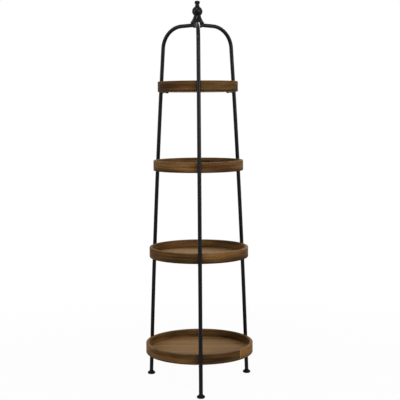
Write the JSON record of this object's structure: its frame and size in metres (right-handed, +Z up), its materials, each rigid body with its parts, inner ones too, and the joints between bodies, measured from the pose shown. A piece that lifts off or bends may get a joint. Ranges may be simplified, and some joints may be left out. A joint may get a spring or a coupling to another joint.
{
  "type": "bakers rack",
  "caption": "Tall round etagere: wooden trays with raised rims, wider towards the floor, screwed to lugs on bent black metal legs that meet in a hub under a turned finial.",
  "frame": {"origin": "on the upright axis of the rack, at floor level", "axes": "+Z up along the axis, -Y towards the front leg, +X to the right seen from the front"},
  "size_m": [0.4448, 0.4763, 1.572],
  "materials": {
    "black_metal": "satin black powder coat",
    "rim_wood": "stained brown, matt lacquer, grain round the rim",
    "floor_wood": "stained brown, matt lacquer, grain across the tray",
    "foot_plastic": "matt black",
    "fastener_steel": "black oxide"
  },
  "bodies": {
    "rack": {"foot_front": "foot_plastic", "foot_rear_left": "foot_plastic", "foot_rear_right": "foot_plastic", "hub": "black_metal", "hub_grub_screws": "fastener_steel", "hub_stud": "fastener_steel", "leg_front": "black_metal", "leg_rear_left": "black_metal", "leg_rear_right": "black_metal", "lug_bottom_front": "black_metal", "lug_bottom_rear_left": "black_metal", "lug_bottom_rear_right": "black_metal", "lug_lower_front": "black_metal", "lug_lower_rear_left": "black_metal", "lug_lower_rear_right": "black_metal", "lug_screws_bottom": "fastener_steel", "lug_screws_lower": "fastener_steel", "lug_screws_top": "fastener_steel", "lug_screws_upper": "fastener_steel", "lug_top_front": "black_metal", "lug_top_rear_left": "black_metal", "lug_top_rear_right": "black_metal", "lug_upper_front": "black_metal", "lug_upper_rear_left": "black_metal", "lug_upper_rear_right": "black_metal", "tray_floor_bottom": "floor_wood", "tray_floor_lower": "floor_wood", "tray_floor_top": "floor_wood", "tray_floor_upper": "floor_wood", "tray_rim_bottom": "rim_wood", "tray_rim_lower": "rim_wood", "tray_rim_top": "rim_wood", "tray_rim_upper": "rim_wood"},
    "finial": {"finial": "black_metal"}
  },
  "joints": [
    {"name": "finial_turn", "type": "hinge", "parent": "rack", "child": "finial", "pos_m": [0, 0, 1.48492], "axis": [0, 0, 1], "continuous": true}
  ]
}
